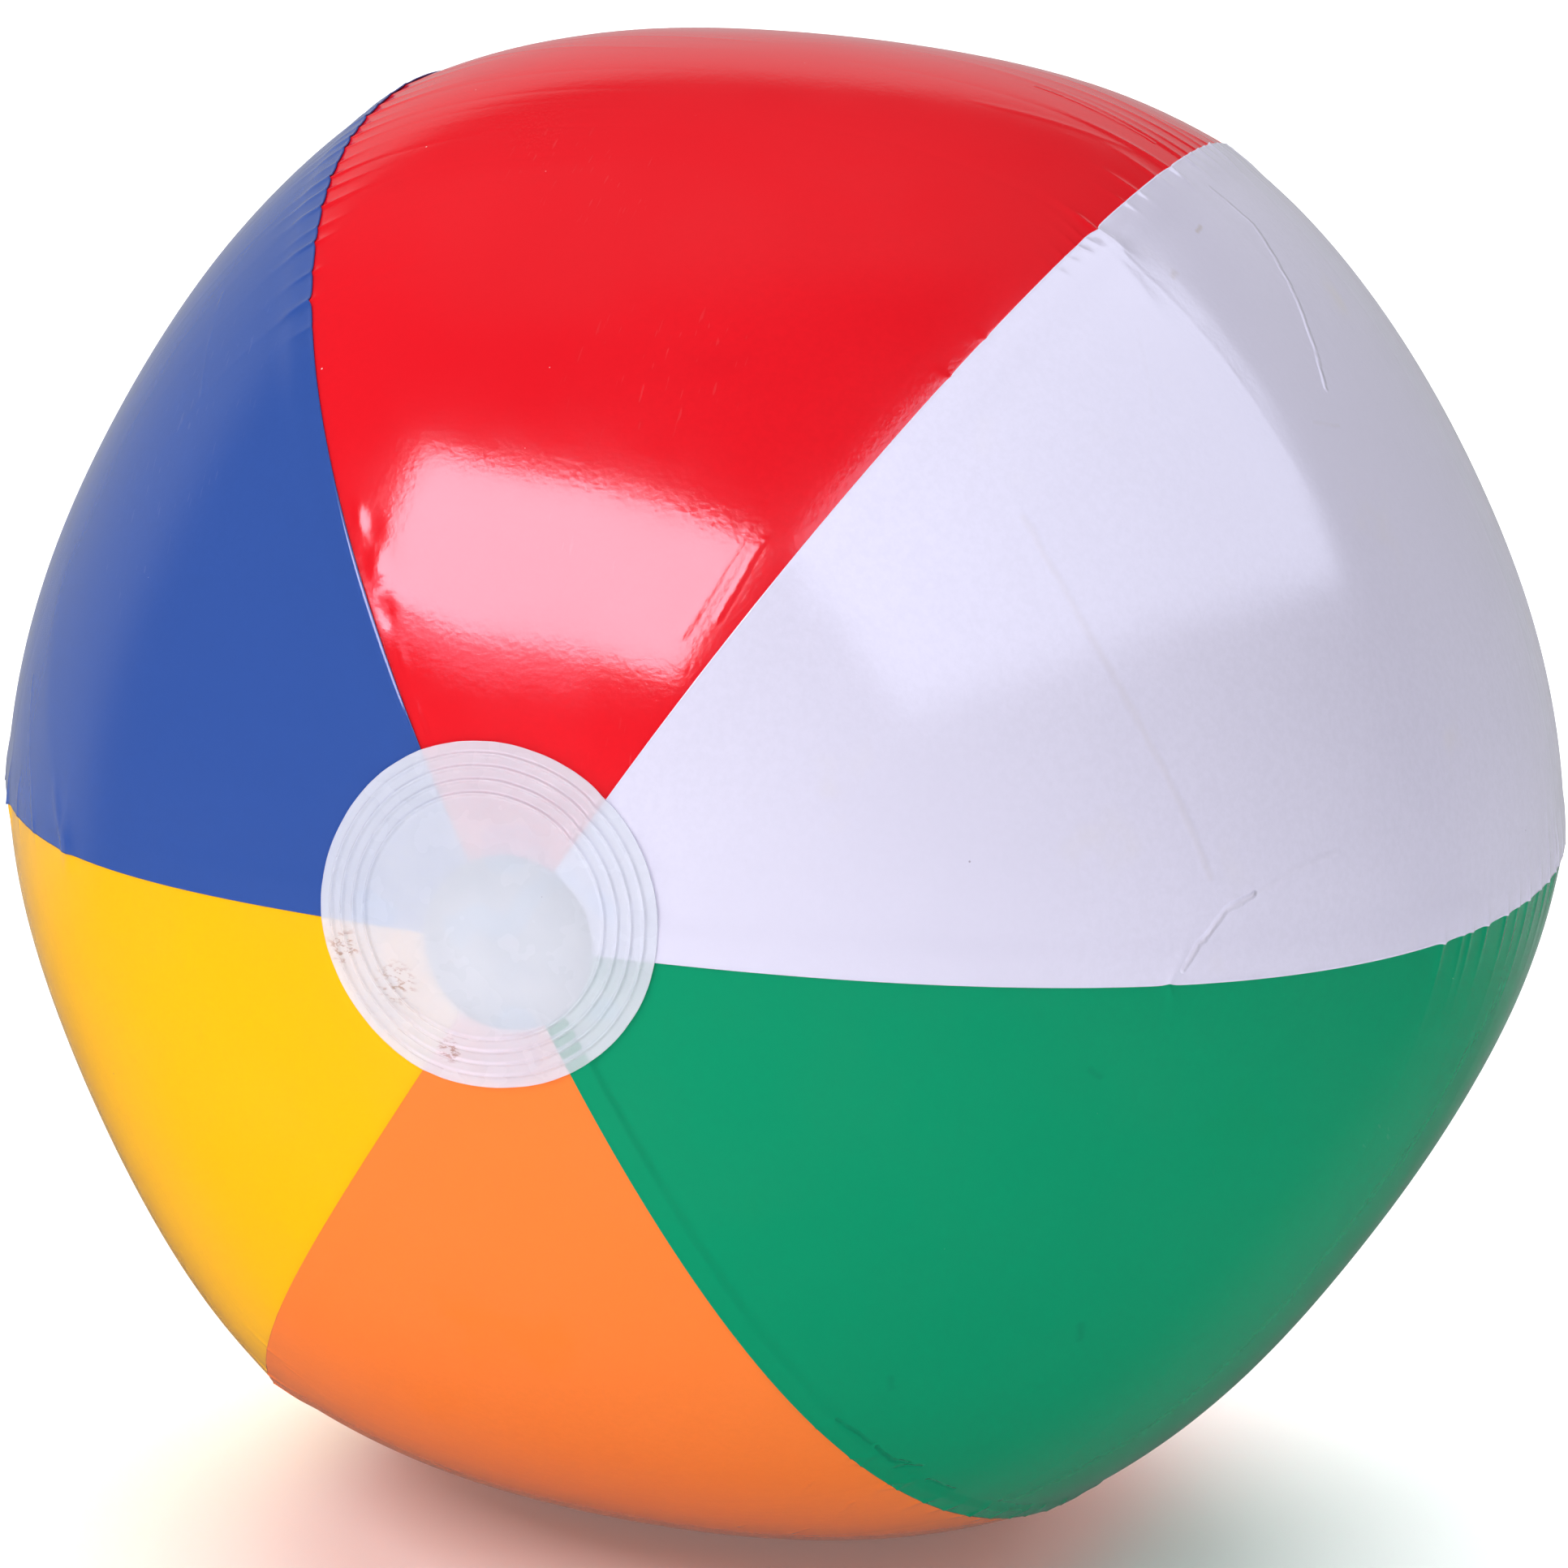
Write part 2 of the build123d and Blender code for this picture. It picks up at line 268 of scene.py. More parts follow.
# Small dents and blisters beside a seam: gore, polar angle, mm from its first seam, height, radius
BLISTERS = (
    ("red", 30.2, 2.6, 0.30, 1.0),
    ("red", 29.2, 4.4, -0.16, 1.6),
    ("red", 26.4, 3.4, 0.22, 1.6),
    ("red", 22.8, 2.4, -0.22, 1.5),
    ("red", 19.4, 2.4, 0.42, 0.8),
    ("red", 15.9, 1.7, 0.45, 0.8),
    ("red", 14.9, 2.6, -0.25, 0.7),
)

# Shallow creases inside a gore: gore, from (polar, across), to (polar, across), height and half width in mm
CREASES = (
    ("white", (45.0, -0.80), (43.7, -0.19), 0.05, 0.7),
    ("white", (43.7, -0.19), (45.6, 0.43), 0.05, 0.7),
    ("white", (45.6, 0.43), (47.1, 0.69), 0.05, 0.7),
    ("white", (43.8, 0.985), (48.2, 0.79), 0.16, 0.8),
    ("white", (48.2, 0.79), (50.4, 0.76), 0.32, 0.6),
    ("white", (50.4, 0.76), (56.0, 0.72), 0.07, 1.2),
    ("white", (66.5, -0.98), (64.6, -0.72), 0.26, 3.2),
    ("white", (64.6, -0.72), (63.2, -0.40), 0.20, 5.0),
    ("white", (81.6, -0.97), (83.4, -0.77), 0.05, 1.2),
    ("white", (83.4, -0.77), (79.1, -0.51), 0.07, 0.8),
    ("white", (79.1, -0.51), (75.7, -0.35), 0.06, 0.6),
    ("blue", (41.6, -0.985), (45.0, -0.80), 0.30, 1.6),
    ("blue", (45.0, -0.80), (58.0, -0.25), 0.16, 5.0),
    ("blue", (48.6, -0.97), (55.5, -0.60), 0.07, 0.7),
    ("blue", (60.0, 0.62), (50.0, 0.52), 0.04, 0.8),
    ("orange", (50.0, -0.82), (60.0, -0.42), 0.035, 0.7),
    ("orange", (55.0, -0.85), (63.0, -0.52), 0.04, 0.7),
    ("orange", (52.0, -0.70), (57.0, -0.48), 0.03, 0.6),
    ("orange", (50.0, 0.92), (61.0, 0.45), 0.04, 0.8),
    ("green", (46.0, -0.89), (47.3, -0.81), 0.10, 0.9),
    ("green", (47.3, -0.81), (49.5, -0.77), 0.08, 0.9),
    ("green", (66.0, -0.62), (70.0, -0.88), 0.05, 0.8),
    ("red", (85.2, 0.63), (83.9, 0.90), 0.12, 0.7),
    ("red", (77.0, 0.55), (80.0, 0.90), 0.10, 0.7),
    ("red", (84.0, -0.90), (80.0, -0.30), 0.07, 0.9),
    ("red", (86.5, -0.80), (84.0, -0.10), 0.06, 0.9),
)


def rear_pinches(rng):
    """Crests on the stretch of a seam behind the equator, unevenly spaced."""
    polar, stop = REAR_PINCHES_DEG
    found = []
    while polar < stop:
        calm = (polar - 90) / (stop - 80)
        height = (0.30 - 0.20 * calm) * rng.uniform(0.4, 1.15)
        reach = (rng.uniform(4, 12), rng.uniform(4, 12))
        lean = rng.uniform(-0.15, 0.15)
        found.append(pinch(polar, height, rng.uniform(0.45, 0.65), reach, lean, rng.uniform(-0.3, 0.3)))
        polar += rng.uniform(*REAR_PITCH_DEG)
    return found


def front_pinches(seam):
    """The listed crests of a seam, at their real length."""
    share = REACH_SHARE[seam]
    return [{**p, "reach": (p["reach"][0] * share, p["reach"][1] * share)} for p in PINCHES[seam]]


def all_pinches():
    rng = np.random.default_rng(7)
    return {seam: front_pinches(seam) + rear_pinches(rng) for seam in range(SEAMS)}


SEAM_PINCHES = all_pinches()


def crest(along, width):
    """A crest with a sharp top, over a distance along the seam."""
    return np.exp(CREST_ROUND - np.sqrt((along / width) ** 2 + CREST_ROUND**2))


def waves_along(polar, waves):
    """A sum of waves along a seam: the size, waves per radian and start of each."""
    return sum(size * np.sin(polar * count + start) for size, count, start in waves)


def plain_seam_deg(seam, polar):
    """Angle of a seam round the polar axis, in degrees."""
    return FIRST_SEAM_DEG + seam * 360 / SEAMS + SEAM_BOW_DEG[seam % SEAMS] * np.sin(2 * polar)


def seam_turn(seam, polar):
    """Angle of a seam round the polar axis, in radians, with the small shifts of its crests."""
    sideways = sum(
        p["shift"] * crest(RADIUS / MM * (polar - radians(p["polar"])), p["width"] * SHIFT_SPREAD)
        for p in SEAM_PINCHES[seam % SEAMS]
    )
    return np.radians(plain_seam_deg(seam, polar)) + sideways * MM / (RADIUS * np.sin(polar))


def reach(gore, polar, across):
    """Radius of a gore's plain outer surface."""
    first = SEAM_REACH[gore % SEAMS]
    second = SEAM_REACH[(gore + 1) % SEAMS]
    middle = GORE_REACH[gore % SEAMS]
    rise = (1 - CORNER_ROUND) * across**2 + CORNER_ROUND * (1 - np.cos(pi * across)) / 2
    ridge = middle + (second - first) / 2 * across + ((first + second) / 2 - middle) * rise
    return RADIUS * (1 - (1 - ridge) * np.sin(polar) ** POLE_FADE)


def half_width(polar):
    """Half the plain width of a gore."""
    return RADIUS * np.sin(polar) * pi / SEAMS


def seam_relief(seam, polar, side):
    """Height of a seam's crests at a distance to its side, positive towards the gore that it starts."""
    total = np.zeros(np.broadcast(polar, side).shape)
    away = np.abs(side) / MM
    for p in SEAM_PINCHES[seam % SEAMS]:
        run = np.where(side < 0, p["reach"][0], p["reach"][1])
        along = RADIUS / MM * (polar - radians(p["polar"])) - p["lean"] * away
        width = p["width"] * (1 + CREST_SPREAD * away / run)
        total += p["height"] * crest(along, width) * np.exp(-((away / run) ** CREST_FADE))
    return total * MM


def blister_relief(gore, polar, across):
    """Height of a gore's small dents and blisters."""
    total = np.zeros(np.broadcast(polar, across).shape)
    for colour, where, off, height, size in BLISTERS:
        if GORES[gore % SEAMS] == colour:
            along = RADIUS / MM * (polar - radians(where))
            side = (1 + across) * half_width(polar) / MM - off
            total += height * np.exp(-((along / size) ** 2 + (side / size) ** 2) ** 1.5)
    return total * MM


def crease_relief(gore, polar, across):
    """Height of a gore's shallow creases."""
    total = np.zeros(np.broadcast(polar, across).shape)
    along = RADIUS / MM * polar
    side = across * half_width(polar) / MM
    for colour, start, end, height, width in CREASES:
        if GORES[gore % SEAMS] != colour:
            continue
        ax, ay = RADIUS / MM * radians(start[0]), start[1] * half_width(radians(start[0])) / MM
        bx, by = RADIUS / MM * radians(end[0]), end[1] * half_width(radians(end[0])) / MM
        length2 = (bx - ax) ** 2 + (by - ay) ** 2
        run = ((along - ax) * (bx - ax) + (side - ay) * (by - ay)) / length2
        held = np.clip(run, 0, 1)
        off = np.hypot(along - ax - held * (bx - ax), side - ay - held * (by - ay))
        fade = CREASE_ENDS + (1 - CREASE_ENDS) * np.sin(pi * held) ** 0.5
        total += height * fade * np.exp(-((off / width) ** CREASE_FADE))
    return total * MM


def ripple_relief(gore, polar, across):
    """Faint long waves that film always has."""
    phase = 1.7 * gore
    along = polar * RADIUS / MM
    side = across * half_width(polar) / MM
    waves = np.sin(along / 9.0 + phase + 0.8 * np.sin(side / 13.0))
    waves = waves + 0.8 * np.sin(side / 7.5 - along / 21.0 + 2.3 * phase)
    return RIPPLE * waves * np.sin(polar)


def lap_relief(gore, polar, across):
    """The rise of a film over its neighbour's lap, where it lies on top, with the bead at its edge."""
    total = 0
    width = half_width(polar)
    for seam, off in ((gore, (1 + across) * width), (gore + 1, (1 - across) * width)):
        number = seam % SEAMS
        if ON_TOP[number] != GORES[gore % SEAMS]:
            continue
        lift, slope = (LOOSE_LIFT, LOOSE_SLOPE) if number == LOOSE_SEAM else (LAP_LIFT, LAP_SLOPE)
        fall = np.clip((off - LAP) / slope, 0, 1)
        total = total + lift * (1 - fall * fall * (3 - 2 * fall))
        total = total + EDGE_BEAD * np.exp(-((off / EDGE_BEAD_WIDTH) ** 2))
        if number == LOOSE_SEAM:
            total = total - groove_depth(polar, off)
    return total


def groove_depth(polar, off):
    """Depth of the groove behind the loose seam's band, at a distance from the seam."""
    groove = np.exp(-(((off / MM - GROOVE_OFF - waves_along(polar, GROOVE_WANDER)) / GROOVE_WIDTH) ** 2))
    return GROOVE_DEPTH * groove * (GROOVE_LEAST + waves_along(polar, GROOVE_SWELL))


def edge_roll(gore, polar, across):
    """The ridge along the rolled gore's second edge, beside the front disc."""
    if GORES[gore % SEAMS] != ROLLED_GORE:
        return 0
    off = (1 - across) * half_width(polar) / MM
    where = np.degrees(polar)
    before_end = 1 / (1 + np.exp((where - ROLL_END_DEG) / ROLL_END_FADE_DEG))
    stretch = before_end / (1 + np.exp((ROLL_START_DEG - where) / ROLL_START_FADE_DEG))
    return ROLL_HEIGHT * stretch * np.exp(-(((off - ROLL_OFF) / ROLL_WIDTH) ** 2))


def film_point(gore, polar, across, lift):
    """Points on a gore at a height above its outer surface, but never below the floor.

    Both sides of the film stop at the floor itself. Only a lap's inside, whose lift is a single number, stops
    a film's thickness above it.
    """
    first = seam_turn(gore, polar)
    second = seam_turn(gore + 1, polar)
    turn = first + (second - first) * (across + 1) / 2
    width = half_width(polar)
    rise = seam_relief(gore, polar, (1 + across) * width)
    rise = rise + seam_relief(gore + 1, polar, -(1 - across) * width)
    rise = rise + crease_relief(gore, polar, across) + ripple_relief(gore, polar, across)
    rise = rise + blister_relief(gore, polar, across)
    out = reach(gore, polar, across) + rise + lift
    from_axis = out * np.sin(polar)
    place = np.stack([from_axis * np.sin(turn), -out * np.cos(polar), from_axis * np.cos(turn)], -1)
    above_floor = 0 if np.ndim(lift) or lift >= 0 else FILM
    place[..., 2] = np.maximum(place[..., 2], FLOOR + above_floor)
    return place


def polar_rows():
    """Polar angles of a gore's rows, closer together where the film puckers."""
    tip = radians(TIP_DEG)
    start, end = [radians(d) for d in FINE_DEG]
    front = np.linspace(tip, start, ROWS_CALM, endpoint=False)
    middle = np.linspace(start, end, ROWS_FINE, endpoint=False)
    back = np.linspace(end, pi - tip, ROWS_CALM + 1)
    return np.concatenate([front, middle, back])[:, None]


def across_columns():
    """Places across a gore, closer together towards its seams."""
    even = np.linspace(-1, 1, COLUMNS + 1)
    return ((1 - EDGE_CROWDING) * even + EDGE_CROWDING * np.sin(even * pi / 2))[None, :]


def lap_points(gore, polar, after, lift):
    """Points of the strip that a gore tucks under its neighbour, from the seam outwards."""
    width = half_width(polar)
    offs = np.linspace(LAP_START, LAP, LAP_COLUMNS)[None, :]
    if after:
        return film_point(gore + 1, polar, -1 + offs / width, lift)
    return film_point(gore - 1, polar, 1 - offs / width, lift)[:, ::-1]


def gore_surface(gore, lift):
    """One side of a gore's film, with its laps, as a grid of points."""
    polar = polar_rows()
    across = across_columns()
    colour = GORES[gore]
    rise = lap_relief(gore, polar, across) + edge_roll(gore, polar, across) + lift
    parts = [film_point(gore, polar, across, rise)]
    if ON_TOP[gore] != colour:
        parts.insert(0, lap_points(gore, polar, False, lift))
    if ON_TOP[(gore + 1) % SEAMS] != colour:
        parts.append(lap_points(gore, polar, True, lift))
    return np.concatenate(parts, axis=1)


# ---------------------------------------------------------------- mesh helpers


def mesh_piece(name, points, quads, tris=(), smooth=True):
    """An object from points and from faces given as rows of point numbers."""
    mesh = bpy.data.meshes.new(name)
    mesh.vertices.add(len(points))
    mesh.vertices.foreach_set("co", np.asarray(points, np.float32).ravel())
    quads = np.asarray(quads, np.int32).reshape(-1, 4)
    tris = np.asarray(tris, np.int32).reshape(-1, 3)
    mesh.loops.add(quads.size + tris.size)
    mesh.loops.foreach_set("vertex_index", np.concatenate([quads.ravel(), tris.ravel()]))
    starts = [np.arange(0, quads.size, 4), quads.size + np.arange(0, tris.size, 3)]
    mesh.polygons.add(len(quads) + len(tris))
    mesh.polygons.foreach_set("loop_start", np.concatenate(starts).astype(np.int32))
    mesh.update(calc_edges=True)
    mesh.validate()
    mesh.polygons.foreach_set("use_smooth", np.full(len(mesh.polygons), smooth))
    piece = bpy.data.objects.new(name, mesh)
    bpy.context.scene.collection.objects.link(piece)
    return piece


def grid_quads(rows, cols, start=0, wrap=False):
    """Quads of a grid of points in row order. wrap joins the last column to the first."""
    i = np.arange(rows - 1)[:, None] * cols
    j = np.arange(cols if wrap else cols - 1)[None, :]
    k = (j + 1) % cols
    quads = np.stack([i + j, i + k, i + cols + k, i + cols + j], -1)
    return quads.reshape(-1, 4) + start


def stitch(outer, inner, forward):
    """Faces between a fine row of points and one with half as many steps."""
    steps = np.arange(len(outer) - 1)
    start, end = inner[(steps + 1) // 2], inner[(steps + 2) // 2]
    quads = np.stack([outer[:-1], outer[1:], end, start], -1)
    if not forward:
        quads = quads[:, ::-1]
    even = steps % 2 == 0
    odd = quads[~even]
    tris = odd[:, [0, 1, 2]] if forward else odd[:, [1, 2, 3]]
    return quads[even], tris


def film_mesh(name, outside, inside):
    """A closed film from two grids of points. The inside keeps every second row and column."""
    inside = inside[::2, ::2]
    rows, cols = outside.shape[:2]
    rows_in, cols_in = inside.shape[:2]
    fine = np.arange(rows * cols).reshape(rows, cols)
    coarse = np.arange(rows_in * cols_in).reshape(rows_in, cols_in) + rows * cols
    quads = [grid_quads(rows, cols), grid_quads(rows_in, cols_in, start=rows * cols)[:, ::-1]]
    tris = []
    for outer, inner, forward in (
        (fine[0], coarse[0], False),
        (fine[-1], coarse[-1], True),
        (fine[:, 0], coarse[:, 0], True),
        (fine[:, -1], coarse[:, -1], False),
    ):
        four, three = stitch(outer, inner, forward)
        quads.append(four)
        tris.append(three)
    points = np.concatenate([outside.reshape(-1, 3), inside.reshape(-1, 3)])
    return mesh_piece(name, points, np.concatenate(quads), np.concatenate(tris))


def turned_mesh(name, outline, steps=96, centre=(0, 0)):
    """A ring of quads turned about the polar axis, from a closed outline of (radius, y) points."""
    outline = np.asarray(outline, float)
    angle = np.linspace(0, 2 * pi, steps, endpoint=False)[:, None]
    r, y = outline[None, :, 0], outline[None, :, 1]
    points = np.stack([r * np.sin(angle) + centre[0], y + 0 * angle, r * np.cos(angle) + centre[1]], -1)
    points = np.concatenate([points, points[:1]], axis=0)
    cols = len(outline)
    quads = grid_quads(steps + 1, cols, wrap=True)
    quads = np.where(quads >= steps * cols, quads - steps * cols, quads)
    return mesh_piece(name, points[:-1].reshape(-1, 3), quads)


# ---------------------------------------------------------------- pieces


def make_gore(gore):
    """One gore's film, from tip to tip."""
    colour = GORES[gore]
    piece = film_mesh(f"film_{colour}", gore_surface(gore, 0), gore_surface(gore, -FILM))
    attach(piece, "shell")
    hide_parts(f"gore_{colour}")
    return piece


def surface_reach(direction):
    """Radius of the ball's plain outer surface along unit directions, with no puckers."""
    polar = np.arccos(np.clip(-direction[..., 1], -1, 1))
    turn = np.degrees(np.arctan2(direction[..., 0], direction[..., 2]))
    found = np.zeros(polar.shape)
    for gore in range(SEAMS):
        first = plain_seam_deg(gore, polar)
        second = plain_seam_deg(gore + 1, polar)
        ahead = (turn - first) % 360
        inside = ahead <= second - first
        across = 2 * ahead / (second - first) - 1
        found = np.where(inside, reach(gore, polar, across), found)
    return found


def disc_direction(spot, round_angle, centre):
    """Unit directions at a distance from a disc's centre, at an angle round it from its top.

    centre is the unit direction of the disc's own centre.
    """
    side = np.array([1.0, 0.0, 0.0])
    side = side - centre * side.dot(centre)
    side = side / np.linalg.norm(side)
    up = np.cross(side, centre)
    up = up if up[2] > 0 else -up
    tilt = spot / RADIUS
    flat = np.sin(round_angle)[..., None] * side + np.cos(round_angle)[..., None] * up
    return np.cos(tilt)[..., None] * centre + np.sin(tilt)[..., None] * flat


def ring_relief(spot):
    """Embossed ridges of the weld, by distance from the disc's centre."""
    share = spot / DISC_RADIUS
    total = 0
    for ring in WELD_RINGS:
        total = total + np.exp(-(((share - ring) * DISC_RADIUS / RING_WIDTH) ** 2))
    return RING_HEIGHT * total


def disc_surface(centre, hole, oval, folds, seed, lift):
    """One side of a pole disc, as a grid of points: rows outwards and columns round."""
    rng = np.random.default_rng(seed)
    angle = np.linspace(0, 2 * pi, DISC_COLUMNS, endpoint=False)[None, :]
    rag = sum(
        rng.uniform(0.3, 1.0) / n**0.6 * np.sin(n * angle + rng.uniform(0, 2 * pi))
        for n in EDGE_RAG_WAVES
    )
    edge = DISC_RADIUS - oval * np.cos(2 * angle) + EDGE_RAG * rag
    calm = np.linspace(0, DISC_RINGS_FROM, DISC_ROWS_CALM, endpoint=False)
    share = np.concatenate([calm, np.linspace(DISC_RINGS_FROM, 1, DISC_ROWS_RINGS)])[:, None]
    spot = hole + (edge - hole) * share
    inside = spot / edge * DISC_RADIUS
    direction = disc_direction(spot, angle + 0 * spot, centre)
    dome = np.clip(1 - (inside / (CROWN_SHARE * DISC_RADIUS)) ** 2, 0, None)
    crown = CROWN * dome * (REAR_CROWN_SHARE if hole else 1)
    out = surface_reach(direction) + DISC_LIFT + DISC_FILM + ring_relief(inside) + crown + lift
    turn = np.arctan2(direction[..., 0], direction[..., 2])
    polar = np.arccos(-direction[..., 1])
    for seam in range(SEAMS):
        gap = (turn - seam_turn(seam, polar) + pi) % (2 * pi) - pi
        side = gap * RADIUS * np.sin(polar) / MM
        height, width, offset, start = folds.get(seam, PLAIN_FOLD)
        welded = 1 / (1 + np.exp(-(inside / DISC_RADIUS - start) / FOLD_FADE))
        out = out + height * MM * welded * np.exp(-(np.abs((side - offset) / width) ** 1.5))
    return direction * out[..., None]


def make_disc(name, node, centre, hole, oval, folds, seed):
    """A milky disc of film, with its embossed rings and its slightly ragged edge."""
    centre = np.array(centre) / np.linalg.norm(centre)
    top = disc_surface(centre, hole, oval, folds, seed, 0)
    under = disc_surface(centre, hole, oval, folds, seed, -DISC_FILM)
    rows, cols = top.shape[:2]
    points = np.concatenate([top, under]).reshape(-1, 3)
    outer = grid_quads(rows, cols, wrap=True)
    inner = grid_quads(rows, cols, start=rows * cols, wrap=True)[:, ::-1]
    j = np.arange(cols)
    k = (j + 1) % cols
    last, low = (rows - 1) * cols, rows * cols
    rim = np.stack([last + j, last + k, low + last + k, low + last + j], -1)
    quads = [outer, inner, rim]
    if hole:
        quads.append(np.stack([j, low + j, low + k, k], -1))
    quads = np.concatenate(quads)
    if centre[1] > 0:
        quads = quads[:, ::-1]
    piece = mesh_piece(name, points, quads)
    if not hole:
        merge_close(piece)
    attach(piece, "shell")
    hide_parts(node)
    return piece


def make_skirt():
    """The thin cone between flange and stem, which turns inside out as the stem slides."""
    (r0, y0), (r1, y1), (r2, y2), (r3, y3) = SKIRT_OUTLINE
    share = np.linspace(0, 1, SKIRT_STEPS + 1)
    sway = SKIRT_SWAY * np.sin(2 * pi * share)
    outer = [(r1 + (r2 - r1) * t + w, y1 + (y2 - y1) * t) for t, w in zip(share, sway)]
    inner = [(r0 + (r3 - r0) * t + w, y0 + (y3 - y0) * t) for t, w in zip(share, sway)]
    outline = [(r * MM, y * MM) for r, y in outer + inner[::-1]]
    piece = turned_mesh("skirt", outline)
    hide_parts("valve_skirt")
    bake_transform(piece)
    return piece


def merge_close(piece):
    """Joins the points of a grid's collapsed row."""
    bm = bmesh.new()
    bm.from_mesh(piece.data)
    bmesh.ops.remove_doubles(bm, verts=bm.verts, dist=1e-7)
    bm.to_mesh(piece.data)
    bm.free()
    piece.data.polygons.foreach_set("use_smooth", np.full(len(piece.data.polygons), True))


# ---------------------------------------------------------------- materials


WHITE_DUST, DARK_DUST = (0.95, 0.90, 0.90), (0.10, 0.05, 0.12)
VINYL_IOR = 1.5
FILM_GLOSS = 0.4  # specular level
# Colour, colour and share of its dust, and colour and share of its stains
FILM_COLOURS = {
    "red": ((0.76, 0.008, 0.016), WHITE_DUST, 0.85, ((0.66, 0.006, 0.014), 0.3)),
    "white": ((0.68, 0.66, 0.805), DARK_DUST, 0.5, ((0.70, 0.66, 0.66), 0.55)),
    "green": ((0.001, 0.272, 0.126), WHITE_DUST, 0.7, ((0.002, 0.26, 0.11), 0.4)),
    "orange": ((0.89, 0.205, 0.036), DARK_DUST, 0.4, ((0.86, 0.19, 0.018), 0.4)),
    "yellow": ((0.93, 0.465, 0.001), DARK_DUST, 0.4, ((0.84, 0.43, 0.002), 0.4)),
    "blue": ((0.031, 0.081, 0.315), WHITE_DUST, 0.4, ((0.032, 0.080, 0.31), 0.4)),
}
WANDER = 1.6 * MM  # how far a fine fold strays from its path
# Colour laid along the fine folds and scuffs: painted shade in the folds' creases, and the scuffs' own
# colour. It is darker than the film on every gore but blue, where it is lighter.
SCUFF_AND_FOLD_SHADE = {
    "red": (0.60, 0.005, 0.012),
    "white": (0.55, 0.50, 0.52),
    "green": (0.001, 0.17, 0.09),
    "orange": (0.70, 0.14, 0.02),
    "yellow": (0.75, 0.38, 0.01),
    "blue": (0.10, 0.17, 0.46),
}
# Fine folds and scuffs: path of (polar, across), half width and bump in mm, share of the painted shade and
# scuff colour
FINE_FOLDS = {
    "white": (
        (((82.9, -0.90), (83.5, -0.77), (81.9, -0.66), (79.1, -0.51), (75.7, -0.35)), 0.9, 0.20, 0.06),
        (((44.3, -0.54), (43.7, -0.19), (44.4, 0.16), (45.6, 0.43), (47.1, 0.69)), 1.3, 0.03, 0.22),
        (((50.4, 0.76), (48.2, 0.79), (45.9, 0.88), (44.7, 0.95)), 0.9, 0.45, 0.2),
        (((50.4, 0.76), (54.0, 0.72), (58.0, 0.70)), 1.0, 0.06, 0.05),
        (((76.6, -0.84), (75.6, -0.835)), 0.8, 0.0, 0.75),
        (((69.6, -0.79), (69.0, -0.785)), 1.2, 0.0, 0.45),
        (((71.6, -0.30), (74.4, -0.26)), 0.7, 0.04, 0.2),
        (((62.0, -0.74), (58.0, -0.55)), 0.9, 0.05, 0.05),
    ),
    "green": (
        (((39.4, -0.70), (40.3, -0.68)), 1.0, 0.0, 0.3),
        (((51.2, 0.21), (52.2, 0.26)), 1.4, 0.0, 0.35),
        (((42.0, 0.68), (43.0, 0.71)), 1.2, 0.0, 0.3),
        (((43.0, 0.925), (45.4, 0.92), (47.4, 0.915)), 0.6, -0.20, 0.4),
        (((48.0, 0.915), (50.2, 0.92), (51.6, 0.90)), 0.7, -0.25, 0.5),
        (((51.0, 0.94), (52.8, 0.89)), 0.7, -0.20, 0.4),
        (((55.0, 0.92), (58.5, 0.91)), 0.6, -0.15, 0.4),
    ),
    "blue": (
        (((48.6, -0.97), (55.5, -0.60)), 0.9, 0.10, 0.2),
        (((60.0, 0.62), (50.0, 0.52)), 0.8, 0.05, 0.1),
    ),
    "orange": (
        (((50.0, -0.82), (60.0, -0.42)), 0.8, 0.05, 0.1),
        (((55.0, -0.85), (63.0, -0.52)), 0.8, 0.06, 0.12),
        (((50.0, 0.92), (61.0, 0.45)), 0.9, 0.05, 0.1),
    ),
    "red": (
        (((85.2, 0.60), (83.9, 0.92)), 0.8, 0.10, 0.1),
        (((23.0, 0.80), (33.0, 0.78)), 1.3, 0.03, 0.0),
        (((25.0, 0.90), (31.0, 0.86)), 1.1, 0.03, 0.0),
    ),
    "yellow": ((((52.0, -0.55), (60.0, -0.50)), 0.9, 0.05, 0.1),),
}
GRIME_COLOUR = (0.44, 0.28, 0.22)
SPECK_COLOUR = (0.30, 0.22, 0.22)
# Handling marks on the discs: place, radius and strength
GRIME = (
    ((-0.0300, -0.1468, -0.0052), 0.0045, 0.8),
    ((-0.0198, -0.1485, -0.0098), 0.0050, 0.7),
    ((-0.0095, -0.1490, -0.0200), 0.0030, 0.8),
    ((0.0150, 0.1480, 0.0170), 0.0050, 0.8),
    ((-0.0210, 0.1480, 0.0060), 0.0040, 0.7),
)


